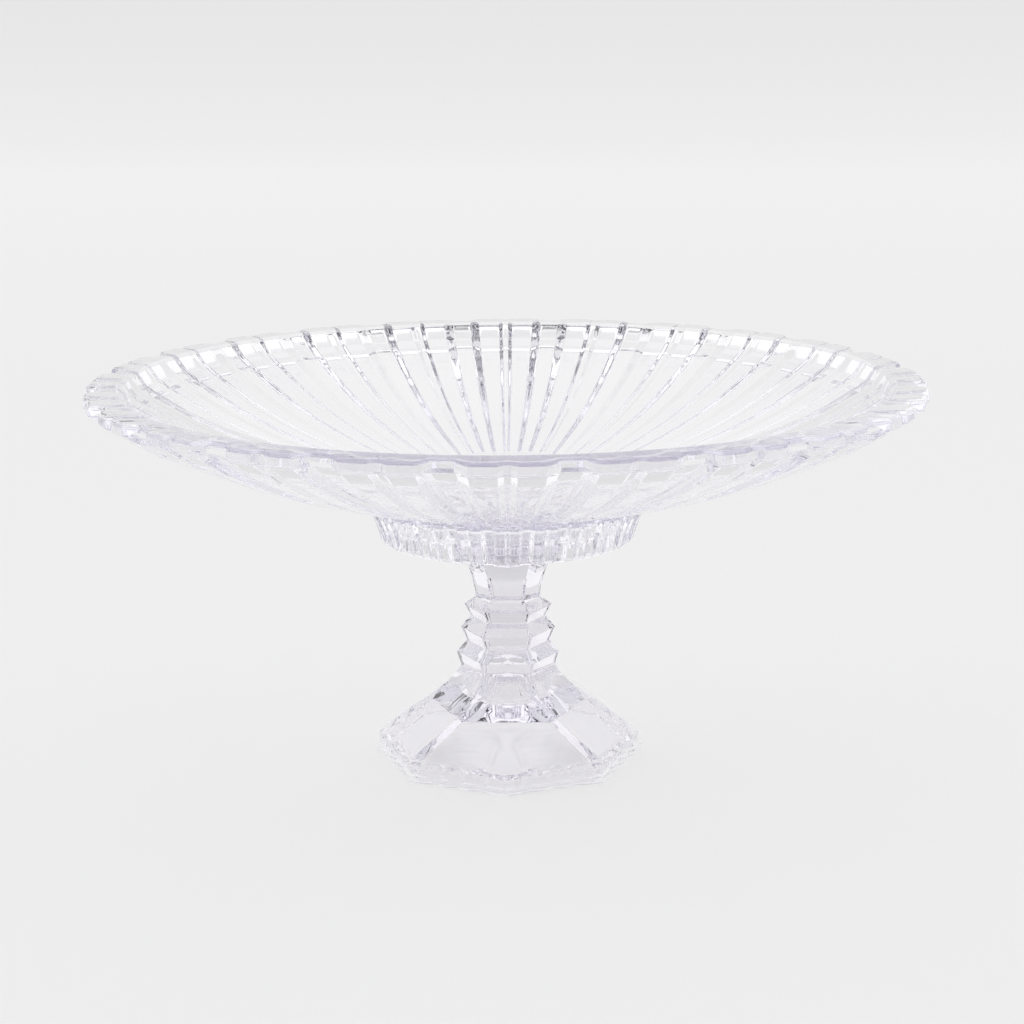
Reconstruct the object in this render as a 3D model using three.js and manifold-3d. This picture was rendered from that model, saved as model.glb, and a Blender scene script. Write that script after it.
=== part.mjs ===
// A clear, cut-crystal style pedestal bowl: a shallow fluted bowl that screws onto a faceted pedestal.
// Millimetres, +Z up. The origin is the centre of the foot, on the surface that the stand rests on.
import * as THREE from 'three';
import { mergeVertices } from 'three/addons/utils/BufferGeometryUtils.js';
import Module from 'manifold-3d';

// Overall sizes
const BOWL_RADIUS = 150;
const CREST_HEIGHT = 142; // from the table to the top of the rim
const FOOT_CORNER_RADIUS = 49.5;

// Bowl
const FLUTE_COUNT = 24;
const LINE_GROOVE_HALF_ANGLE = 1.23; // degrees; a narrow V groove on each flute line
const LINE_GROOVE_DEPTH = 1.0;
const WIDE_GROOVE_HALF_ANGLE = 3.1; // degrees; a wide groove half way between two flute lines
const WIDE_GROOVE_BED_HALF_ANGLE = 1.35; // degrees; its flat bottom
const WIDE_GROOVE_DEPTH = 2.2;
const RIM_WIDTH = 13; // from the outer edge to the inner edge of the rim
const RIM_STEP_DEPTH = 5.8; // the steep wall just inside the rim
const RIM_STEP_RUN = 2.5; // how far that wall leans in
const RIM_EDGE_DROP = 3; // the outer edge lies this far under the crest
const RIM_THICKENING = 3.2; // extra wall just under the rim
const WALL = 4.6; // bowl wall, measured upright
const FLOOR_RADIUS = 42; // flat middle of the bowl
const BOWL_DEPTH = 39.7; // crest to the flat floor
const FOOT_RING_RADIUS = 46.7; // outside, at its lower edge
const FOOT_RING_WIDTH = 3.6;
const FOOT_RING_HEIGHT = 14; // below the floor's underside

// Screw joint between bowl and pedestal
const SPIGOT_RADIUS = 13.4;
const SPIGOT_WALL = 3.8;
const THREAD_LEAD = 6; // rise in one full turn
const THREAD_STARTS = 2;
const THREAD_HEIGHT = 1.5; // how far a ridge stands out of its wall
const THREAD_BASE = 1.5; // ridge width at its wall
const THREAD_TIP = 0.7; // ridge width at its tip
const THREAD_TURNS = 0.75;
const THREAD_RADIAL_GAP = 0.7; // ridge tip to the opposite wall
const SOCKET_WALL = 3.4;
const SOCKET_LENGTH = 10.3; // below the floor's underside
const SPIGOT_TOP_GAP = 1.2;
const WASHER_THICKNESS = 1.2;
const WASHER_INSET = 0.6; // the washer stops this far inside the socket's outer wall
const SEAT_GAP = 0.3; // between faces that touch on the real object

// Pedestal
const PEDESTAL_TURN = -1.8; // degrees from the bowl's flutes when screwed tight
const STEM_WAIST_RADIUS = 11.9;
const FLANGE_LIP = 1.5; // the flange stands out this far past the socket
const FLANGE_THICKNESS = 1.4;
const FLARE_HEIGHT = 33; // the stem's collars start here
const COLLAR_RIDGE_RADII = [19.0, 17.4, 16.1]; // bottom collar first
const COLLAR_VALLEY_RADII = [17.5, 15.4, 13.8]; // under each collar
const STEM_EDGE_ANGLE = 30; // half the angle of a stem face, degrees; six faces
const FOOT_EDGE_ANGLE = 45; // where that edge ends on the eight-sided foot
const PLINTH_HEIGHT = 3;
const BORDER_HEIGHT = 8.4;
const FOOT_WALL = 5.2;
const SKIRT_WALL_INSET = 2.7; // the hollow follows the skirt, this far in
const SKIRT_WALL_DROP = 3.6; // and this far down
const CAVITY_HEIGHT = 24.4; // inside height under the stem
const CORE_HEIGHT = 33; // top of the narrow core hole in the stem
const CORE_MOUTH_RADIUS = 11.5;
const CORE_TOP_RADIUS = 6.5;

// Heights that follow from the sizes above
const FLOOR_TOP = CREST_HEIGHT - BOWL_DEPTH;
const FLOOR_UNDERSIDE = FLOOR_TOP - WALL;
const SOCKET_MOUTH = FLOOR_UNDERSIDE - SOCKET_LENGTH;
const WASHER_BOTTOM = SOCKET_MOUTH - SEAT_GAP - WASHER_THICKNESS;
const FLANGE_TOP = WASHER_BOTTOM - SEAT_GAP;
const FLANGE_BOTTOM = FLANGE_TOP - FLANGE_THICKNESS;
const SPIGOT_TOP = FLOOR_UNDERSIDE - SPIGOT_TOP_GAP;
const SOCKET_RADIUS = SPIGOT_RADIUS + THREAD_HEIGHT + THREAD_RADIAL_GAP;
const SOCKET_OUTER_RADIUS = SOCKET_RADIUS + SOCKET_WALL;
const SPIGOT_BORE_RADIUS = SPIGOT_RADIUS - SPIGOT_WALL;
const FLANGE_RADIUS = SOCKET_OUTER_RADIUS + FLANGE_LIP;
const WASHER_INNER_RADIUS = SPIGOT_RADIUS + THREAD_HEIGHT + SEAT_GAP;
const WASHER_OUTER_RADIUS = SOCKET_OUTER_RADIUS - WASHER_INSET;
const STEP_RADIUS = BOWL_RADIUS - RIM_WIDTH - RIM_STEP_RUN; // foot of the steep wall inside the rim
const FOOT_RING_MOUTH = FLOOR_UNDERSIDE - FOOT_RING_HEIGHT;
const FOOT_RING_TOP_RADIUS = FOOT_RING_RADIUS + 4;
const THREAD_SPACING = THREAD_LEAD / THREAD_STARTS;
const THREAD_START_HEIGHT = SOCKET_MOUTH + 1.4;

const TAU = 2 * Math.PI;
const radians = THREE.MathUtils.degToRad;
const lerp = THREE.MathUtils.lerp;

const wasm = await Module();
wasm.setup();

// A closed skin through rings of equal length. A ring of one point closes an end.
function skin(rings) {
  const positions = [];
  const starts = [];
  for (const ring of rings) {
    starts.push(positions.length / 3);
    for (const point of ring) {
      positions.push(point.x, point.y, point.z);
    }
  }
  const index = [];
  const columns = Math.max(...rings.map((ring) => ring.length));
  for (let row = 0; row + 1 < rings.length; row++) {
    for (let column = 0; column < columns; column++) {
      const next = (column + 1) % columns;
      const a = starts[row] + (rings[row].length > 1 ? column : 0);
      const b = starts[row] + (rings[row].length > 1 ? next : 0);
      const c = starts[row + 1] + (rings[row + 1].length > 1 ? column : 0);
      const d = starts[row + 1] + (rings[row + 1].length > 1 ? next : 0);
      if (a !== b) index.push(a, b, c);
      if (c !== d) index.push(b, d, c);
    }
  }
  return facingOut(positions, index);
}

// A geometry whose triangles face out, whichever way they were wound.
function facingOut(positions, index) {
  const at = (i) => new THREE.Vector3().fromArray(positions, 3 * i);
  let volume = 0;
  for (let i = 0; i < index.length; i += 3) {
    volume += at(index[i]).dot(at(index[i + 1]).cross(at(index[i + 2])));
  }
  if (volume < 0) index.reverse();
  const geometry = new THREE.BufferGeometry();
  geometry.setAttribute('position', new THREE.Float32BufferAttribute(positions, 3));
  geometry.setIndex(index);
  return geometry;
}

function polar(radius, azimuth, height) {
  const angle = radians(azimuth);
  return new THREE.Vector3(radius * Math.sin(angle), -radius * Math.cos(angle), height);
}

function solid(geometry) {
  const source = geometry.clone();
  source.deleteAttribute('normal');
  source.deleteAttribute('uv');
  const merged = mergeVertices(source, 1e-4);
  const mesh = new wasm.Mesh({
    numProp: 3,
    vertProperties: new Float32Array(merged.attributes.position.array),
    triVerts: new Uint32Array(merged.index.array),
  });
  return new wasm.Manifold(mesh);
}

function toGeometry(manifold) {
  const mesh = manifold.getMesh();
  const geometry = new THREE.BufferGeometry();
  geometry.setAttribute('position', new THREE.BufferAttribute(new Float32Array(mesh.vertProperties), 3));
  geometry.setIndex(new THREE.BufferAttribute(new Uint32Array(mesh.triVerts), 1));
  geometry.computeVertexNormals();
  return geometry;
}

// One right-hand helical ridge. wall is the radius it grows from and out is +1 or -1.
function threadRidge(wall, out, baseHeight, startAngle, turns) {
  const sunk = 0.4;
  const steps = Math.ceil(turns * 32);
  const rings = [];
  for (let i = 0; i <= steps; i++) {
    const angle = startAngle + (i / steps) * turns * TAU;
    const height = baseHeight + ((i / steps) * turns * THREAD_LEAD);
    const fade = Math.min(1, (Math.min(i, steps - i) + 0.8) / 2.4);
    const tipRadius = wall + out * THREAD_HEIGHT * fade;
    const rootRadius = wall - out * sunk;
    const place = (radius, rise) =>
      new THREE.Vector3(radius * Math.cos(angle), radius * Math.sin(angle), height + rise);
    rings.push([
      place(rootRadius, -THREAD_BASE / 2),
      place(tipRadius, -THREAD_TIP / 2),
      place(tipRadius, THREAD_TIP / 2),
      place(rootRadius, THREAD_BASE / 2),
    ]);
  }
  const first = rings[0];
  const last = rings[rings.length - 1];
  const middle = (ring) => ring.reduce((sum, point) => sum.add(point), new THREE.Vector3()).divideScalar(4);
  return skin([[middle(first)], ...rings, [middle(last)]]);
}

function withThreads(body, wall, out, baseHeight, startAngle) {
  let result = body;
  for (let start = 0; start < THREAD_STARTS; start++) {
    const angle = startAngle + (start * TAU) / THREAD_STARTS;
    result = result.add(solid(threadRidge(wall, out, baseHeight, angle, THREAD_TURNS)));
  }
  return result;
}

// --- Bowl ---

// Azimuths of the columns of one flute: the narrow groove's bottom and edges, then the wide groove's.
function bowlAzimuths() {
  const pitch = 360 / FLUTE_COUNT;
  const middle = pitch / 2;
  const offsets = [
    0,
    LINE_GROOVE_HALF_ANGLE,
    middle - WIDE_GROOVE_HALF_ANGLE,
    middle - WIDE_GROOVE_BED_HALF_ANGLE,
    middle + WIDE_GROOVE_BED_HALF_ANGLE,
    middle + WIDE_GROOVE_HALF_ANGLE,
    pitch - LINE_GROOVE_HALF_ANGLE,
  ];
  const azimuths = [];
  for (let flute = 0; flute < FLUTE_COUNT; flute++) {
    azimuths.push(...offsets.map((offset) => flute * pitch + offset));
  }
  return azimuths;
}

// How far the outside lies under its panels at this azimuth, in millimetres.
function grooveDepth(azimuth) {
  const pitch = 360 / FLUTE_COUNT;
  const offset = azimuth % pitch;
  const fromLine = Math.min(offset, pitch - offset);
  const fromMiddle = Math.abs(offset - pitch / 2);
  const flank = WIDE_GROOVE_HALF_ANGLE - WIDE_GROOVE_BED_HALF_ANGLE;
  const narrow = THREE.MathUtils.clamp(1 - fromLine / LINE_GROOVE_HALF_ANGLE, 0, 1);
  const wide = THREE.MathUtils.clamp((WIDE_GROOVE_HALF_ANGLE - fromMiddle) / flank, 0, 1);
  return LINE_GROOVE_DEPTH * narrow + WIDE_GROOVE_DEPTH * wide;
}

// Share of the way from the flat floor's edge to the rim's step.
function slopeShare(radius) {
  return THREE.MathUtils.clamp((radius - FLOOR_RADIUS) / (STEP_RADIUS - FLOOR_RADIUS), 0, 1);
}

// Inner skin of the bowl: nearly straight near the floor and steeper towards the rim.
function innerHeight(radius) {
  const share = slopeShare(radius);
  const rise = CREST_HEIGHT - RIM_STEP_DEPTH - FLOOR_TOP;
  return FLOOR_TOP + rise * (0.55 * share + 0.45 * share ** 3);
}

// Underside of the bowl, on its panels.
function outerHeight(radius) {
  return innerHeight(radius) - WALL - RIM_THICKENING * slopeShare(radius) ** 5;
}

// The bowl's section, from the floor's edge over the rim and back under to the screw socket.
// Each row is radius, height and share of the grooves' depth.
function bowlProfile() {
  const edgeHeight = CREST_HEIGHT - RIM_EDGE_DROP;
  const innerEdge = BOWL_RADIUS - RIM_WIDTH;
  const flankTop = STEP_RADIUS + 0.5;
  const flankFoot = FOOT_RING_TOP_RADIUS + 4;
  const inside = [0, 0.18, 0.37, 0.56, 0.74, 0.88, 1].map((share) => {
    const radius = lerp(FLOOR_RADIUS, STEP_RADIUS, share);
    return [radius, innerHeight(radius), 0];
  });
  const rim = [
    [innerEdge, CREST_HEIGHT - 0.9, 0],
    [innerEdge + 3.5, CREST_HEIGHT, 0],
    [innerEdge + 7, CREST_HEIGHT, 0],
    [BOWL_RADIUS - 2, CREST_HEIGHT - 1.2, 0.6],
    [BOWL_RADIUS, edgeHeight, 1],
    [BOWL_RADIUS - 0.8, edgeHeight - 2.2, 1],
    [BOWL_RADIUS - 5, edgeHeight - 6.4, 1],
  ];
  const flank = [1, 0.79, 0.54, 0.27, 0].map((share) => {
    const radius = lerp(flankFoot, flankTop, share);
    return [radius, outerHeight(radius), share > 0 ? 1 : 0.8];
  });
  const footRing = [
    [FOOT_RING_TOP_RADIUS, FLOOR_UNDERSIDE - 2, 0.6],
    [FOOT_RING_RADIUS + 1.6, FOOT_RING_MOUTH + 7, 0.6],
    [FOOT_RING_RADIUS, FOOT_RING_MOUTH + 1.2, 0.4],
    [FOOT_RING_RADIUS - 0.6, FOOT_RING_MOUTH, 0],
    [FOOT_RING_RADIUS - FOOT_RING_WIDTH, FOOT_RING_MOUTH, 0],
    [FOOT_RING_RADIUS - FOOT_RING_WIDTH - 1, FLOOR_UNDERSIDE, 0],
  ];
  const socket = [
    [SOCKET_OUTER_RADIUS, FLOOR_UNDERSIDE, 0],
    [SOCKET_OUTER_RADIUS, SOCKET_MOUTH, 0],
    [SOCKET_RADIUS, SOCKET_MOUTH, 0],
    [SOCKET_RADIUS, FLOOR_UNDERSIDE, 0],
  ];
  return [...inside, ...rim, ...flank, ...footRing, ...socket];
}

function bowlBody() {
  const azimuths = bowlAzimuths();
  const rings = bowlProfile().map(([radius, height, relief]) =>
    azimuths.map((azimuth) => {
      return polar(radius - relief * grooveDepth(azimuth), azimuth, height);
    }));
  const top = [new THREE.Vector3(0, 0, FLOOR_TOP)];
  const underside = [new THREE.Vector3(0, 0, FLOOR_UNDERSIDE)];
  return skin([top, ...rings, underside]);
}

function bowlGeometry() {
  const femaleStart = THREAD_START_HEIGHT + THREAD_SPACING / 2 - 0.2 * THREAD_LEAD;
  const body = solid(bowlBody());
  return toGeometry(withThreads(body, SOCKET_RADIUS, -1, femaleStart, -0.2 * TAU));
}

// --- Seat washer ---

function washerGeometry() {
  const top = WASHER_BOTTOM + WASHER_THICKNESS;
  const profile = [
    new THREE.Vector2(WASHER_INNER_RADIUS, WASHER_BOTTOM),
    new THREE.Vector2(WASHER_OUTER_RADIUS, WASHER_BOTTOM),
    new THREE.Vector2(WASHER_OUTER_RADIUS, top),
    new THREE.Vector2(WASHER_INNER_RADIUS, top),
    new THREE.Vector2(WASHER_INNER_RADIUS, WASHER_BOTTOM),
  ];
  const geometry = new THREE.LatheGeometry(profile, 48);
  geometry.rotateX(Math.PI / 2);
  return geometry;
}

// --- Pedestal ---

// One section of the pedestal, given by the corner at 90 degrees (radius), the corner at the edge
// azimuth (rise times as far out) and the point at 0 degrees, which lift moves from flat (0) to a full
// corner (1). round 1 makes a circle. The other three quarters mirror the first.
function pedestalRing({ height, radius, edge = STEM_EDGE_ANGLE, rise = 1, lift = 0, round = 0 }) {
  const corner = (reach, azimuth) => new THREE.Vector2(
    reach * Math.sin(radians(azimuth)), reach * Math.cos(radians(azimuth)));
  const flat = radius * rise * Math.cos(radians(edge));
  const front = corner(lerp(flat, radius, lift), 0);
  const middle = corner(radius * rise, edge);
  const side = corner(radius, 90);
  const shares = [0, 0.25, 0.5, 0.75];
  const quarter = [
    ...shares.map((share) => front.clone().lerp(middle, share)),
    ...shares.map((share) => middle.clone().lerp(side, share)),
  ];
  const mirrored = [side, ...quarter.slice(1).reverse()].map((point) => new THREE.Vector2(point.x, -point.y));
  const half = [...quarter, ...mirrored];
  const outline = [...half, ...half.map((point) => point.clone().negate())];
  return outline.map((point) => {
    const azimuth = THREE.MathUtils.radToDeg(Math.atan2(point.x, point.y)) + PEDESTAL_TURN;
    return polar(lerp(point.length(), radius, round), azimuth, height);
  });
}

// Height at a share of the stem, from the top of the flare to the flange.
function stemHeight(share) {
  return lerp(FLARE_HEIGHT, FLANGE_BOTTOM, share);
}

// Stem collars, bottom first: a valley and then the sharp ridge above it.
function collarSections() {
  const valleyShare = 0.01;
  const pitch = 0.183;
  return COLLAR_RIDGE_RADII.flatMap((ridgeRadius, i) => [
    { height: stemHeight(valleyShare + pitch * i), radius: COLLAR_VALLEY_RADII[i] },
    { height: stemHeight(valleyShare + pitch * (i + 0.53)), radius: ridgeRadius },
  ]);
}

// The skirt from the border's top edge to the stem. The stem's edges run out to the foot's corners and
// a further corner rises between the front two. Each row is share of the height, share of the spread,
// edge azimuth, how proud that edge lies and how far the front corner has risen.
function flareSections() {
  const rows = [
    [0.2, 0.79, 0.7, 1.08, 0.65],
    [0.4, 0.565, 0.4, 1.1, 0.3],
    [0.58, 0.35, 0.22, 1.08, 0.15],
    [0.73, 0.2, 0.1, 1.04, 0.05],
    [0.87, 0.09, 0.03, 1.01, 0],
  ];
  const stemRadius = COLLAR_VALLEY_RADII[0];
  return rows.map(([climb, spread, fan, rise, lift]) => ({
    height: lerp(BORDER_HEIGHT, FLARE_HEIGHT, climb),
    radius: lerp(stemRadius, FOOT_CORNER_RADIUS - 2.2, spread),
    edge: lerp(STEM_EDGE_ANGLE, FOOT_EDGE_ANGLE, fan),
    rise,
    lift,
  }));
}

// The hollow's wall, top first: the same skirt moved in and down.
function cavitySections() {
  const followed = flareSections().slice(0, -1).reverse();
  return followed.map((section) => ({
    ...section,
    height: section.height - SKIRT_WALL_DROP,
    radius: section.radius - SKIRT_WALL_INSET,
  }));
}

// The waist over the collars and the trumpet that opens to the flange.
function trumpetSections() {
  const radiusAt = (share) => lerp(STEM_WAIST_RADIUS, FLANGE_RADIUS, share);
  return [
    { height: stemHeight(0.525), radius: STEM_WAIST_RADIUS },
    { height: stemHeight(0.62), radius: radiusAt(0.07) },
    { height: stemHeight(0.74), radius: radiusAt(0.28), round: 0.1 },
    { height: stemHeight(0.845), radius: radiusAt(0.55), round: 0.5 },
  ];
}

function pedestalBody() {
  const foot = FOOT_CORNER_RADIUS;
  const inner = foot - FOOT_WALL;
  const octagon = { edge: FOOT_EDGE_ANGLE, lift: 1 };
  const circle = { round: 1 };
  const sections = [
    { height: CORE_HEIGHT, radius: CORE_TOP_RADIUS, ...circle },
    { height: CAVITY_HEIGHT, radius: CORE_MOUTH_RADIUS, ...circle },
    ...cavitySections(),
    { height: BORDER_HEIGHT - 2.4, radius: inner, ...octagon },
    { height: 0, radius: inner + 0.4, ...octagon },
    { height: 0, radius: foot - 0.5, ...octagon },
    { height: 0.5, radius: foot, ...octagon },
    { height: PLINTH_HEIGHT - 0.4, radius: foot, ...octagon },
    { height: PLINTH_HEIGHT, radius: foot - 0.9, ...octagon },
    { height: BORDER_HEIGHT - 0.6, radius: foot - 1.2, ...octagon },
    { height: BORDER_HEIGHT, radius: foot - 2.2, ...octagon },
    ...flareSections(),
    ...collarSections(),
    ...trumpetSections(),
    { height: FLANGE_BOTTOM, radius: FLANGE_RADIUS, ...circle },
    { height: FLANGE_TOP, radius: FLANGE_RADIUS, ...circle },
    { height: FLANGE_TOP, radius: SPIGOT_RADIUS, ...circle },
    { height: SPIGOT_TOP - 0.8, radius: SPIGOT_RADIUS, ...circle },
    { height: SPIGOT_TOP, radius: SPIGOT_RADIUS - 0.8, ...circle },
    { height: SPIGOT_TOP, radius: SPIGOT_BORE_RADIUS, ...circle },
    { height: FLANGE_BOTTOM - 6, radius: SPIGOT_BORE_RADIUS - 0.6, ...circle },
  ];
  const coreEnd = [new THREE.Vector3(0, 0, CORE_HEIGHT)];
  const boreEnd = [new THREE.Vector3(0, 0, FLANGE_BOTTOM - 7)];
  return skin([coreEnd, ...sections.map(pedestalRing), boreEnd]);
}

function pedestalGeometry() {
  const body = solid(pedestalBody());
  return toGeometry(withThreads(body, SPIGOT_RADIUS, 1, THREAD_START_HEIGHT, 0));
}

// --- Assembly ---

function clearPlastic(color, roughness) {
  return new THREE.MeshStandardMaterial({ color, roughness, metalness: 0 });
}

function part(name, geometry, material) {
  const mesh = new THREE.Mesh(geometry, material);
  mesh.name = name;
  return mesh;
}

const stand = new THREE.Group();
stand.name = 'cake_stand';
stand.add(part('pedestal', pedestalGeometry(), clearPlastic(0xe4e2ea, 0.05)));
stand.add(part('seat_washer', washerGeometry(), clearPlastic(0xe9ebee, 0.35)));
stand.add(part('bowl', bowlGeometry(), clearPlastic(0xe8e7ee, 0.05)));

export default stand;
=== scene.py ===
"""A clear pedestal dish: fluted dish, faceted pedestal and soft washer, in a pale studio."""
import bpy
import math
import numpy as np
from mathutils import Matrix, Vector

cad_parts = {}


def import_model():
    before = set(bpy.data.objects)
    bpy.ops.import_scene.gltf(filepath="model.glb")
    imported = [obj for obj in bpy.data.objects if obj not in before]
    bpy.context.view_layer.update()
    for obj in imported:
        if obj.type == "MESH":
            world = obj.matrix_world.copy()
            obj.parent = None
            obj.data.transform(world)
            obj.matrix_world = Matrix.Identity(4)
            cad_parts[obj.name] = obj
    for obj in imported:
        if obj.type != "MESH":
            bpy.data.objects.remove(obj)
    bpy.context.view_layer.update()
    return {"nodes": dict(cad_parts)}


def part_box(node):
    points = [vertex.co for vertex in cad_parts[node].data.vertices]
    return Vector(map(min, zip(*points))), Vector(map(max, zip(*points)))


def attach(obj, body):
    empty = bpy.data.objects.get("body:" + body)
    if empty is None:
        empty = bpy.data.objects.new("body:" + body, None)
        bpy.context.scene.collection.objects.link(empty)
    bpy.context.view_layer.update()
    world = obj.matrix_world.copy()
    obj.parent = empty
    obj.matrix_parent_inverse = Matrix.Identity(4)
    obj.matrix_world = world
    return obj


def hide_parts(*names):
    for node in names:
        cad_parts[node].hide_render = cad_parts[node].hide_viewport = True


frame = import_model()

# --- Sizes: lengths in millimetres, azimuths in degrees from the front ---

MM = 0.001
bowl_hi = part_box("bowl")[1]

# Dish
RIM_R = bowl_hi.x / MM
CREST = bowl_hi.z / MM
FLUTES = 24
PITCH = 360 / FLUTES
WALL = 4.6
RIM_THICKENING = 3.2  # extra wall just under the rim
FLOOR_R = 42  # the middle of the dish is flat up to this radius
FLOOR_TOP = CREST - 39.7
FLOOR_UNDER = FLOOR_TOP - WALL
STEP_R = RIM_R - 15.5  # foot of the steep wall inside the rim
STEP_FOOT = CREST - 5.8
LINE_GROOVE_DEPTH = 1.5
LINE_GROOVE_BED = 0.3  # half width of its flat bottom, as an angle
LINE_GROOVE_EDGE = 1.23  # half width where it opens
WIDE_GROOVE_DEPTH = 3.1
WIDE_GROOVE_EDGE = 4.4  # angle from the flute line to where it opens
WIDE_GROOVE_BED = 6.15  # and to its flat bottom
RING_MOUTH = FLOOR_UNDER - 14
SOCKET_MOUTH = FLOOR_UNDER - 10.3
SOCKET_R = 15.6
SOCKET_OUTER_R = 19.0

# Pedestal
PEDESTAL_TURN = -1.8  # from the dish's flutes when screwed tight
FOOT_EDGE = 45  # azimuth of the corner between two faces of the foot
STEM_EDGE = 30  # and of the stem
SECTION_STEP = 0.6  # between one section of the outside and the next
FACE_STEPS = 28
EDGE_SOFTNESS = 0.06  # share of a face beside each edge that is rounded off
# Height and corner radius of each sharp edge round the foot's border and the stem's collars
BORDER = [(0.0, 49.0), (0.5, 49.5), (2.6, 49.5), (3.2, 48.5), (7.6, 48.3), (8.4, 47.3)]
COLLARS = [(33.5, 17.5), (38.6, 19.0), (43.2, 15.2), (48.2, 17.4), (52.6, 13.7), (57.2, 16.1), (59.9, 11.9)]
SHARP_HEIGHTS = {z for z, _ in BORDER + COLLARS}
SCALLOP_DEPTH = 1.6
FACET_DEPTH = 1.2
FACET_HEIGHT = 5.4  # the facets are deepest here, and shift by half a facet above it
CORNER_BEAD = 0.15
RELIEF_FADE = (7.4, 8.6)  # the border's relief fades out between these heights
EDGE_GROOVE_DEPTH = 0.9
EDGE_GROOVE_HALF_WIDTH = 0.6
EDGE_GROOVE_START = (21, 25)  # it fades in between these heights
EDGE_GROOVE_END = (66, 72)  # and out between these
SKIRT_WALL_INSET = 2.7  # the hollow follows the skirt, this far in
SKIRT_WALL_DROP = 3.6  # and this far down
SKIRT_FOLLOWED = (10.0, 21.6)  # between these heights of the skirt
CORE_TOP = 33.4
FLANGE_R = 20.5
FLANGE_UNDER = 84.2
FLANGE_TOP = 85.6
SPIGOT_R = 13.4
SPIGOT_TOP = 96.5
SPIGOT_CHAMFER = 0.8
BORE_R = 9.6
BORE_BOTTOM = 77.2


# --- Mesh helpers ---

def mesh_object(name, verts, faces, sharp_angle):
    """A mesh object in metres from vertices in millimetres."""
    mesh = bpy.data.meshes.new(name)
    mesh.from_pydata([tuple(v) for v in verts * MM], [], faces)
    mesh.update()
    mesh.polygons.foreach_set("use_smooth", [True] * len(mesh.polygons))
    mesh.set_sharp_from_angle(angle=math.radians(sharp_angle))
    ob = bpy.data.objects.new(name, mesh)
    bpy.context.scene.collection.objects.link(ob)
    return ob


def skin(start, rings, end):
    """Vertices and faces of a closed skin through rings of equal length, with a single point at each end."""
    count = len(rings[0])
    verts = np.concatenate([[start]] + rings + [[end]])
    last = len(verts) - 1
    faces = [(0, 1 + c, 1 + (c + 1) % count) for c in range(count)]
    for i in range(len(rings) - 1):
        a, b = 1 + i * count, 1 + (i + 1) * count
        for c in range(count):
            d = (c + 1) % count
            faces.append((a + c, b + c, b + d, a + d))
    a = last - count
    faces += [(a + c, last, a + (c + 1) % count) for c in range(count)]
    return verts, facing_out(verts, faces)


def facing_out(verts, faces):
    """The same faces, all turned over if they enclose a negative volume."""
    first = [(f[0], f[1], f[2]) for f in faces]
    second = [(f[0], f[2], f[3]) for f in faces if len(f) == 4]
    a, b, c = (verts[column] for column in np.array(first + second).T)
    volume = np.einsum("ij,ij->i", a, np.cross(b, c)).sum()
    return faces if volume > 0 else [tuple(reversed(f)) for f in faces]


def smoothstep(x, lo, hi):
    """0 below lo, 1 above hi and an even S curve between."""
    t = np.clip((np.asarray(x, float) - lo) / (hi - lo), 0, 1)
    return t * t * (3 - 2 * t)


def rounded_ramp(x, lo, hi):
    """0 to 1 in a straight ramp whose two ends are rounded off."""
    straight = np.clip((np.asarray(x, float) - lo) / (hi - lo), 0, 1)
    return 0.75 * straight + 0.25 * smoothstep(x, lo, hi)


def polyline(points, step):
    """Points along straight pieces, at most step apart, keeping every corner."""
    out = [points[0]]
    for a, b in zip(points, points[1:]):
        n = max(1, math.ceil(math.dist(a, b) / step))
        for i in range(1, n + 1):
            out.append([p + (q - p) * i / n for p, q in zip(a, b)])
    return out


def rounded(points, radius, parts):
    """The same line with its inner corners replaced by arcs of about that radius."""
    out = [points[0]]
    for corner in zip(points, points[1:], points[2:]):
        a, b, c = (np.array(p, float) for p in corner)
        before, after = np.linalg.norm((a - b)[:2]), np.linalg.norm((c - b)[:2])
        cut = min(radius, 0.45 * before, 0.45 * after)
        p, q = b + (a - b) * cut / before, b + (c - b) * cut / after
        for i in range(parts + 1):
            t = i / parts
            out.append(list((1 - t) ** 2 * p + 2 * t * (1 - t) * b + t * t * q))
    out.append(points[-1])
    return out


def spline(x, y, at):
    """Monotone cubic through the points, at the given places."""
    x, y, at = np.asarray(x, float), np.asarray(y, float), np.asarray(at, float)
    h = np.diff(x)
    slope = np.diff(y) / h
    m = np.zeros(len(x))
    m[0], m[-1] = slope[0], slope[-1]
    for i in range(1, len(x) - 1):
        if slope[i - 1] * slope[i] > 0:
            w1, w2 = 2 * h[i] + h[i - 1], h[i] + 2 * h[i - 1]
            m[i] = (w1 + w2) / (w1 / slope[i - 1] + w2 / slope[i])
    k = np.clip(np.searchsorted(x, at) - 1, 0, len(h) - 1)
    t = (at - x[k]) / h[k]
    return ((1 + 2 * t) * (1 - t) ** 2 * y[k] + t * (1 - t) ** 2 * h[k] * m[k]
            + t * t * (3 - 2 * t) * y[k + 1] + t * t * (t - 1) * h[k] * m[k + 1])


# --- Dish ---

def wall_share(r):
    """How far out a radius lies between the flat floor and the step, 0 to 1."""
    return np.clip((np.asarray(r, float) - FLOOR_R) / (STEP_R - FLOOR_R), 0, 1)


def inner_height(r):
    s = wall_share(r)
    return FLOOR_TOP + (STEP_FOOT - FLOOR_TOP) * (0.55 * s + 0.45 * s**3)


def outer_height(r):
    return inner_height(r) - WALL - RIM_THICKENING * wall_share(r) ** 5


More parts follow.
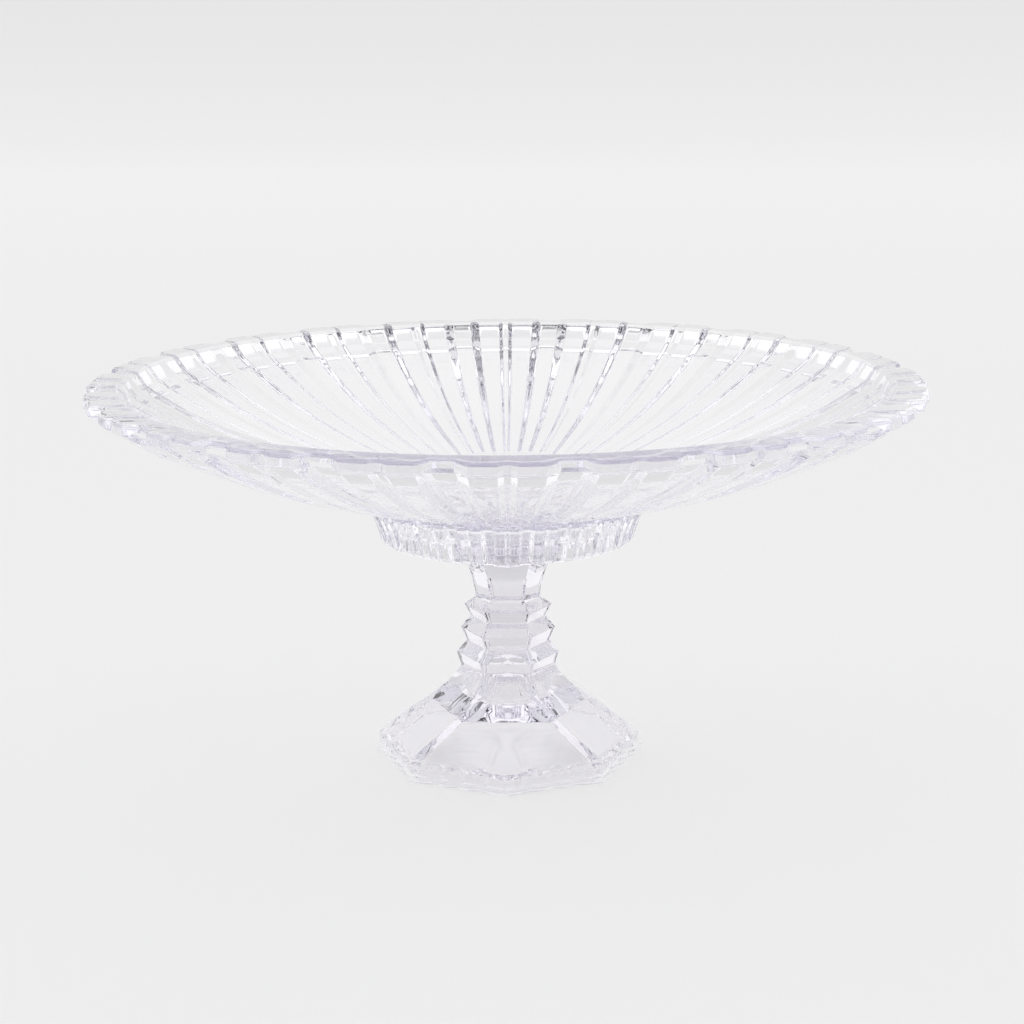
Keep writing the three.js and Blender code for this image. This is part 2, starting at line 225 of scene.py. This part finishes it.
def flute_azimuths():
    """Azimuths of all flutes, close together on the flanks of their grooves."""
    # Angles from the flute line, and the number of steps to each of them
    marks = [0, 0.37, LINE_GROOVE_EDGE, WIDE_GROOVE_EDGE, WIDE_GROOVE_BED, PITCH / 2]
    counts = [2, 6, 8, 10, 4]
    half = [0.0]
    for a, b, n in zip(marks, marks[1:], counts):
        half += [a + (b - a) * i / n for i in range(1, n + 1)]
    whole = half + [PITCH - a for a in reversed(half[1:-1])]
    return np.array([k * PITCH + a for k in range(FLUTES) for a in whole])


def line_distance(azimuth):
    """Angle from the nearest flute line, 0 to half the pitch."""
    a = np.mod(azimuth, PITCH)
    return np.minimum(a, PITCH - a)


def line_groove(a):
    """1 in the narrow groove on each flute line, 0 outside it."""
    return 1 - rounded_ramp(a, LINE_GROOVE_BED, LINE_GROOVE_EDGE)


def wide_groove(a):
    """1 in the wide groove half way between two flute lines, 0 outside it."""
    return rounded_ramp(a, WIDE_GROOVE_EDGE, WIDE_GROOVE_BED)


# Each profile row is a radius, a height, the depth of the line groove and the depth of the wide groove.

def inside_rows():
    """Flat floor and inner wall, both smooth."""
    wall = [[r, float(inner_height(r)), 0, 0] for r in np.linspace(FLOOR_R, STEP_R, 40)]
    return [[30, FLOOR_TOP, 0, 0]] + wall


def rim_rows():
    """Over the crest and down the rim's outer edge, where the grooves notch it."""
    return [
        [RIM_R - 13.2, CREST - 0.8, 0, 0],
        [RIM_R - 11.2, CREST, 0, 0],
        [RIM_R - 8.5, CREST, 0, 0],
        [RIM_R - 1.1, CREST - 0.2, 1.4, 4.0],
        [RIM_R, CREST - 1.4, 1.4, 3.8],
        [RIM_R, CREST - 4.3, 1.4, 3.2],
        [RIM_R - 1.8, CREST - 5.3, 1.4, 2.9],
    ]


def flank_rows():
    """Outer wall, with grooves that get shallower towards the foot ring."""
    rows = []
    for r in np.linspace(STEP_R + 1, 54, 40):
        rows.append([r, float(outer_height(r)), LINE_GROOVE_DEPTH * r / RIM_R, WIDE_GROOVE_DEPTH * r / RIM_R])
    return rows


def ring_rows():
    """Outside of the foot ring."""
    return [
        [50.8, FLOOR_UNDER - 2.2, 0.5, 1.0],
        [48.6, RING_MOUTH + 7, 0.4, 0.9],
        [46.9, RING_MOUTH + 1.0, 0.3, 0.8],
        [46.0, RING_MOUTH, 0, 0],
    ]


def underside_rows():
    """Inside of the foot ring, underside of the floor and the socket."""
    return [
        [43.4, RING_MOUTH, 0, 0],
        [42.2, FLOOR_UNDER, 0, 0],
        [SOCKET_OUTER_R, FLOOR_UNDER, 0, 0],
        [SOCKET_OUTER_R, SOCKET_MOUTH, 0, 0],
        [SOCKET_R, SOCKET_MOUTH, 0, 0],
        [SOCKET_R, FLOOR_UNDER, 0, 0],
    ]


def dish_rows():
    """The whole profile with its corners rounded, from the floor over the rim and round to the socket."""
    inside, ring = inside_rows(), ring_rows()
    outside = [inside[-1]] + rim_rows() + flank_rows() + ring
    under = [ring[-1]] + underside_rows()
    return rounded(inside, 1.2, 3)[:-1] + rounded(outside, 0.7, 4) + rounded(under, 0.35, 3)[1:]


def sink_directions(profile):
    """Which way each row's grooves are sunk: square to the wall, and straight in at the rim's edge."""
    tangent = np.gradient(profile, axis=0)
    normal = np.stack([tangent[:, 1], -tangent[:, 0]], 1)
    normal /= np.maximum(np.linalg.norm(normal, axis=1, keepdims=True), 1e-9)
    at_edge = (profile[:, 0] > RIM_R - 9) & (profile[:, 1] > CREST - 4.8)
    normal[at_edge] = (-1, 0)
    return normal


def dish():
    """The dish with its grooves, foot ring and socket, as one closed skin."""
    rows = np.array(dish_rows())
    azimuth = np.radians(flute_azimuths())
    a = line_distance(np.degrees(azimuth))
    narrow, wide = line_groove(a), wide_groove(a)
    rings = []
    for (r, z, line_depth, wide_depth), (out, up) in zip(rows, sink_directions(rows[:, :2])):
        sink = line_depth * narrow + wide_depth * wide
        radius = r + out * sink
        rings.append(np.stack([radius * np.sin(azimuth), -radius * np.cos(azimuth), z + up * sink], 1))
    verts, faces = skin([0, 0, FLOOR_TOP], rings, [0, 0, FLOOR_UNDER])
    return mesh_object("dish_clear", verts, faces, sharp_angle=40)


# --- Pedestal ---

# A section is a height, a corner radius, the azimuth of its front edge, how proud that edge lies, how far the
# middle of the front face is drawn out into a corner, and how round the whole outline is.

def foot_sections():
    """The border, with eight even sides."""
    return [(z, r, FOOT_EDGE, 1, 1, 0) for z, r in BORDER]


def skirt_sections():
    """The front edge runs from the foot's corner to the stem's, and the front corner sinks into its face."""
    return [
        (10.5, 44.8, 43, 1.04, 0.85, 0),
        (13.3, 41.2, 40.5, 1.08, 0.65, 0),
        (16, 37.6, 38, 1.1, 0.45, 0),
        (18.4, 34.3, 36, 1.1, 0.3, 0),
        (20.5, 30.9, 34.5, 1.09, 0.2, 0),
        (22.7, 27.9, 33.3, 1.08, 0.15, 0),
        (24.6, 25.4, 32.3, 1.06, 0.1, 0),
        (26.3, 23.4, 31.5, 1.04, 0.05, 0),
        (28.2, 21.6, 30.8, 1.02, 0, 0),
        (29.8, 20.1, 30.4, 1.01, 0, 0),
        (31.2, 18.9, STEM_EDGE, 1, 0, 0),
    ]


def stem_sections():
    """Three collars and a plain neck with six faces, then a trumpet that becomes round under the flange."""
    neck = [(62.3, 12.1), (64.6, 12.5)]
    trumpet = [(68.4, 13.4, 0.05), (70.7, 14.3, 0.1), (76.0, 16.6, 0.3), (80.5, 18.9, 0.6)]
    sections = [(z, r, STEM_EDGE, 1, 0, 0) for z, r in COLLARS + neck]
    sections += [(z, r, STEM_EDGE, 1, 0, around) for z, r, around in trumpet]
    return sections + [(FLANGE_UNDER, FLANGE_R, STEM_EDGE, 1, 0, 1)]


def outer_sections():
    """Sections of the whole outside, close together and smooth between the sharp heights."""
    knots = foot_sections() + skirt_sections() + stem_sections()
    out, run = [], [knots[0]]
    for knot in knots[1:]:
        run.append(knot)
        if knot[0] in SHARP_HEIGHTS or knot is knots[-1]:
            z = [k[0] for k in run]
            at = np.linspace(z[0], z[-1], max(2, math.ceil((z[-1] - z[0]) / SECTION_STEP) + 1))
            columns = [spline(z, [k[i] for k in run], at) for i in range(1, 6)]
            sections = list(zip(at, *columns))
            out += sections if not out else sections[1:]
            run = [knot]
    return out


def face_shares():
    """Shares along one face, close together beside its two edges."""
    inner = np.linspace(EDGE_SOFTNESS, 1 - EDGE_SOFTNESS, FACE_STEPS - 3)
    return np.concatenate([[0, EDGE_SOFTNESS / 3], inner, [1 - EDGE_SOFTNESS / 3]])


def compass(reach, azimuth):
    """A point that far out at that azimuth: sideways, then forwards."""
    return reach * np.array([math.sin(math.radians(azimuth)), math.cos(math.radians(azimuth))])


def faceted_outline(radius, edge, rise, lift):
    """Flat faces between corners at the front, at the edge azimuth and at the side, mirrored both ways."""
    flat = radius * rise * math.cos(math.radians(edge))
    front = compass(flat + (radius - flat) * lift, 0)
    middle = compass(radius * rise, edge)
    side = compass(radius, 90)
    shares = face_shares()[:, None]
    quarter = np.concatenate([front + (middle - front) * shares, middle + (side - middle) * shares])
    mirrored = np.concatenate([[side], quarter[:0:-1]]) * [1, -1]
    half = np.concatenate([quarter, mirrored])
    return np.concatenate([half, -half])


def edge_groove(azimuth, edge, radius, z):
    """Depth of a hair-thin groove down the four edges that face front and back, fading into the skirt."""
    degrees = np.degrees(azimuth) % 180
    away = np.abs(np.minimum(degrees, 180 - degrees) - edge) * math.pi / 180 * radius
    strength = smoothstep(z, *EDGE_GROOVE_START) * (1 - smoothstep(z, *EDGE_GROOVE_END))
    return EDGE_GROOVE_DEPTH * strength * np.clip(1 - away / EDGE_GROOVE_HALF_WIDTH, 0, 1)


def foot_relief(azimuth, z):
    """Depth under the border's outline: scallops and facets along each side, with a bead at each corner."""
    share = np.mod(azimuth, math.pi / 4) / (math.pi / 4)
    scallop = 1 - np.abs(np.sin(share * math.pi * 4))
    shift = 0.5 if z > FACET_HEIGHT else 0.0
    facet = np.abs(np.mod(share * 8 + shift, 1) - 0.5) * 2
    middle = math.exp(-((z - FACET_HEIGHT) / 1.6) ** 2)
    bead = 1 - smoothstep(np.minimum(share, 1 - share), 0.05, 0.11)
    return (SCALLOP_DEPTH * scallop + FACET_DEPTH * facet * middle) * (1 - bead) - CORNER_BEAD * bead


def pedestal_ring(z, radius, edge, rise, lift, roundness, relief=0.0):
    """One ring of the pedestal's skin. relief is the share of the border's relief that it gets."""
    outline = faceted_outline(radius, edge, rise, lift)
    azimuth = np.arctan2(outline[:, 0], outline[:, 1])
    length = np.linalg.norm(outline, axis=1)
    length = length * (1 - roundness) + radius * roundness
    length = length - edge_groove(azimuth, edge, radius, z) - relief * foot_relief(azimuth, z)
    azimuth = azimuth + math.radians(PEDESTAL_TURN)
    return np.stack([length * np.sin(azimuth), -length * np.cos(azimuth), np.full(len(azimuth), z)], 1)


def round_rings(profile):
    """Round rings at most 1 mm apart along a profile of heights and radii."""
    return [pedestal_ring(z, r, STEM_EDGE, 1, 0, 1) for z, r in polyline(profile, 1.0)]


def hollow_rings():
    """Down the narrow core hole, out under the stem, and down inside the skirt to the table."""
    core = round_rings([(33.0, 6.0), (31.5, 7.5), (25.0, 9.6), (20.6, 11.6), (19.4, 13.4)])
    ceiling = [pedestal_ring(18.9, 16, 33, 1.08, 0.1, 0.8), pedestal_ring(18.5, 20, 33, 1.08, 0.1, 0.5)]
    skirt = []
    for z, r, *shape in reversed(outer_sections()):
        if SKIRT_FOLLOWED[0] < z < SKIRT_FOLLOWED[1]:
            skirt.append(pedestal_ring(z - SKIRT_WALL_DROP, r - SKIRT_WALL_INSET, *shape))
    foot = [pedestal_ring(z, r, FOOT_EDGE, 1, 1, 0) for z, r in polyline([(4.6, 44.1), (0.0, 44.7)], 1.5)]
    return core + ceiling + skirt + foot


def outer_rings():
    """Up the outside, with the relief on the border only."""
    rings = []
    for section in outer_sections():
        rings.append(pedestal_ring(*section, relief=1.0 - smoothstep(section[0], *RELIEF_FADE)))
    return rings


def spigot_rings():
    """Over the flange, up the spigot and down its bore."""
    profile = [
        (FLANGE_UNDER, FLANGE_R),
        (FLANGE_TOP, FLANGE_R),
        (FLANGE_TOP, SPIGOT_R),
        (SPIGOT_TOP - SPIGOT_CHAMFER, SPIGOT_R),
        (SPIGOT_TOP, SPIGOT_R - SPIGOT_CHAMFER),
        (SPIGOT_TOP, BORE_R),
        (BORE_BOTTOM + 1, BORE_R - 0.6),
    ]
    return round_rings(profile)[1:]


def pedestal():
    """The pedestal as one closed skin, from the top of its core hole to the bottom of its bore."""
    rings = hollow_rings() + outer_rings() + spigot_rings()
    verts, faces = skin([0, 0, CORE_TOP], rings, [0, 0, BORE_BOTTOM])
    return mesh_object("pedestal_clear", verts, faces, sharp_angle=14)


# --- Materials ---

DEPTH_TINT = (0.12, 0.04, 0.42)
DEPTH_DENSITY = 2.4  # per metre; long ways through the plastic turn grey violet
DISH_TINT = (0.99, 0.987, 0.995)
# The pedestal's pale lavender, made darker than the dish's to paint in the shade of the floor under the foot,
# seen through the skirt
PEDESTAL_TINT_AND_SHADE = (0.937, 0.927, 0.95)
PLASTIC_IOR = 1.5
PLASTIC_POLISH = (0.0, 0.012)  # roughness, best to worst
PLASTIC_WAVE = 0.00003  # metres
SILICONE_TINT = (0.93, 0.93, 0.95)
SILICONE_IOR = 1.42
SILICONE_POLISH = (0.12, 0.2)
SILICONE_WAVE = 0.0002
FLOOR_GLOW = (0.603, 0.645)  # near and far


def map_range(nt, value, source, target, interpolation="LINEAR"):
    """The value taken from one range of numbers to another."""
    node = nt.nodes.new("ShaderNodeMapRange")
    node.interpolation_type = interpolation
    node.inputs["From Min"].default_value, node.inputs["From Max"].default_value = source
    node.inputs["To Min"].default_value, node.inputs["To Max"].default_value = target
    nt.links.new(value, node.inputs["Value"])
    return node.outputs["Result"]


def noise(nt, scale, detail, target):
    """A value in the target range that wanders over the surface, in the object's own space."""
    coord = nt.nodes.new("ShaderNodeTexCoord")
    texture = nt.nodes.new("ShaderNodeTexNoise")
    texture.inputs["Scale"].default_value = scale
    texture.inputs["Detail"].default_value = detail
    texture.inputs["Roughness"].default_value = 0.55
    nt.links.new(coord.outputs["Object"], texture.inputs["Vector"])
    return map_range(nt, texture.outputs["Fac"], (0.3, 0.7), target)


def clear_material(name, tint, ior, polish, wave):
    """Clear moulded plastic. polish is its range of roughness and wave the depth of its shrink waves."""
    material = bpy.data.materials.new(name)
    material.use_nodes = True
    nt = material.node_tree
    bsdf = nt.nodes["Principled BSDF"]
    bsdf.inputs["Base Color"].default_value = (*tint, 1)
    bsdf.inputs["IOR"].default_value = ior
    bsdf.inputs["Transmission Weight"].default_value = 1.0
    nt.links.new(noise(nt, 60.0, 3.0, polish), bsdf.inputs["Roughness"])
    bump = nt.nodes.new("ShaderNodeBump")
    bump.inputs["Strength"].default_value = 0.35
    bump.inputs["Distance"].default_value = wave
    nt.links.new(noise(nt, 110.0, 2.0, (0.0, 1.0)), bump.inputs["Height"])
    nt.links.new(bump.outputs["Normal"], bsdf.inputs["Normal"])
    depth = nt.nodes.new("ShaderNodeVolumeAbsorption")
    depth.inputs["Color"].default_value = (*DEPTH_TINT, 1)
    depth.inputs["Density"].default_value = DEPTH_DENSITY
    nt.links.new(depth.outputs["Volume"], nt.nodes["Material Output"].inputs["Volume"])
    return material


def floor_material():
    """Pale paper, a little brighter far away, where the sweep takes some of its light."""
    material = bpy.data.materials.new("floor_white")
    material.use_nodes = True
    nt = material.node_tree
    bsdf = nt.nodes["Principled BSDF"]
    bsdf.inputs["Base Color"].default_value = (0.3, 0.3, 0.3, 1)
    bsdf.inputs["Roughness"].default_value = 0.9
    bsdf.inputs["Specular IOR Level"].default_value = 0.0
    bsdf.inputs["Emission Color"].default_value = (1, 1, 1, 1)
    coord = nt.nodes.new("ShaderNodeTexCoord")
    split = nt.nodes.new("ShaderNodeSeparateXYZ")
    nt.links.new(coord.outputs["Object"], split.inputs[0])
    glow = map_range(nt, split.outputs["Y"], (0.8, 3.4), FLOOR_GLOW)
    nt.links.new(glow, bsdf.inputs["Emission Strength"])
    return material


# --- Studio, in metres ---

FLOOR_HALF_WIDTH = 1.6
FLOOR_FRONT = -0.5
FLOOR_BACK = 3.0  # the sweep starts to rise here
SWEEP_RADIUS = 1.2
SWEEP_STEPS = 12
SWEEP_TOP = 1.7
LIGHT_AROUND = 1.06  # from every side but the front
LIGHT_OVERHEAD = 0.3  # added straight above
LIGHT_RIGHT = -0.8  # taken away at the far right
CAMERA_PLACE = (-0.93, -748.2, 269.2)  # millimetres, for a 150 mm rim
CAMERA_DOWN = 13.34  # degrees
CAMERA_YAW = -0.0036  # radians, as is the roll
CAMERA_ROLL = -0.0065
CAMERA_LENS = 73.83


def studio_floor():
    """A pale sweep: flat under the object and curved up behind it."""
    profile = [(FLOOR_FRONT, 0.0), (FLOOR_BACK, 0.0)]
    for i in range(1, SWEEP_STEPS + 1):
        t = math.radians(90 * i / SWEEP_STEPS)
        profile.append((FLOOR_BACK + SWEEP_RADIUS * math.sin(t), SWEEP_RADIUS * (1 - math.cos(t))))
    profile.append((FLOOR_BACK + SWEEP_RADIUS, SWEEP_TOP))
    verts = [(side, y, z) for y, z in profile for side in (-FLOOR_HALF_WIDTH, FLOOR_HALF_WIDTH)]
    faces = [(2 * i, 2 * i + 1, 2 * i + 3, 2 * i + 2) for i in range(len(profile) - 1)]
    mesh = bpy.data.meshes.new("floor")
    mesh.from_pydata(verts, [], faces)
    mesh.polygons.foreach_set("use_smooth", [True] * len(mesh.polygons))
    mesh.materials.append(floor_material())
    floor = bpy.data.objects.new("floor", mesh)
    bpy.context.scene.collection.objects.link(floor)


def math_node(nt, operation, a, b):
    """The result of a Math node. b is a number or another node's output."""
    node = nt.nodes.new("ShaderNodeMath")
    node.operation = operation
    nt.links.new(a, node.inputs[0])
    if isinstance(b, float):
        node.inputs[1].default_value = b
    else:
        nt.links.new(b, node.inputs[1])
    return node.outputs[0]


def world():
    """Even soft light from everywhere but the front, a little more overhead and less on the right."""
    studio = bpy.data.worlds.new("studio")
    bpy.context.scene.world = studio
    studio.use_nodes = True
    nt = studio.node_tree
    nt.nodes.clear()
    out = nt.nodes.new("ShaderNodeOutputWorld")
    back = nt.nodes.new("ShaderNodeBackground")
    coord = nt.nodes.new("ShaderNodeTexCoord")
    split = nt.nodes.new("ShaderNodeSeparateXYZ")
    nt.links.new(coord.outputs["Generated"], split.inputs[0])
    around = map_range(nt, split.outputs["Y"], (-0.55, -0.15), (0.0, LIGHT_AROUND), "SMOOTHSTEP")
    overhead = map_range(nt, split.outputs["Z"], (0.6, 0.9), (0.0, LIGHT_OVERHEAD), "SMOOTHSTEP")
    right = map_range(nt, split.outputs["X"], (0.7, 0.95), (0.0, LIGHT_RIGHT), "SMOOTHSTEP")
    total = math_node(nt, "ADD", math_node(nt, "ADD", around, overhead), right)
    nt.links.new(math_node(nt, "MAXIMUM", total, 0.0), back.inputs["Strength"])
    back.inputs["Color"].default_value = (1, 1, 1, 1)
    nt.links.new(back.outputs[0], out.inputs["Surface"])


def camera():
    """In front of the axis and above it, at a distance that goes with the rim's size."""
    data = bpy.data.cameras.new("camera")
    data.sensor_width = 36
    data.lens = CAMERA_LENS
    data.clip_start = 0.01
    data.clip_end = 50
    cam = bpy.data.objects.new("camera", data)
    bpy.context.scene.collection.objects.link(cam)
    place = Matrix.Translation([RIM_R / 150 * MM * side for side in CAMERA_PLACE])
    yaw = Matrix.Rotation(CAMERA_YAW, 4, "Z")
    tilt = Matrix.Rotation(math.radians(90 - CAMERA_DOWN), 4, "X")
    cam.matrix_world = place @ yaw @ tilt @ Matrix.Rotation(CAMERA_ROLL, 4, "Z")
    bpy.context.scene.camera = cam


def render_settings():
    """Plain colours, and enough bounces for light that crosses many clear walls."""
    scene = bpy.context.scene
    scene.view_settings.view_transform = "Standard"
    scene.view_settings.look = "None"
    cycles = scene.cycles
    cycles.max_bounces = 32
    cycles.transmission_bounces = 32
    cycles.glossy_bounces = 32
    cycles.diffuse_bounces = 3
    cycles.caustics_refractive = True
    cycles.caustics_reflective = True
    cycles.blur_glossy = 0.0
    cycles.use_denoising = True


dish_piece = dish()
dish_piece.data.materials.append(
    clear_material("dish_plastic", DISH_TINT, PLASTIC_IOR, PLASTIC_POLISH, PLASTIC_WAVE))
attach(dish_piece, "bowl")
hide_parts("bowl")

pedestal_piece = pedestal()
# Its tint is partly painted shade: darker than the dish's, standing in for the shaded floor under the foot
pedestal_piece.data.materials.append(
    clear_material("pedestal_plastic", PEDESTAL_TINT_AND_SHADE, PLASTIC_IOR, PLASTIC_POLISH, PLASTIC_WAVE))
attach(pedestal_piece, "pedestal")
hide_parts("pedestal")

washer = frame["nodes"]["seat_washer"]
washer.data.materials.clear()
washer.data.materials.append(
    clear_material("washer_silicone", SILICONE_TINT, SILICONE_IOR, SILICONE_POLISH, SILICONE_WAVE))

studio_floor()
world()
camera()
render_settings()
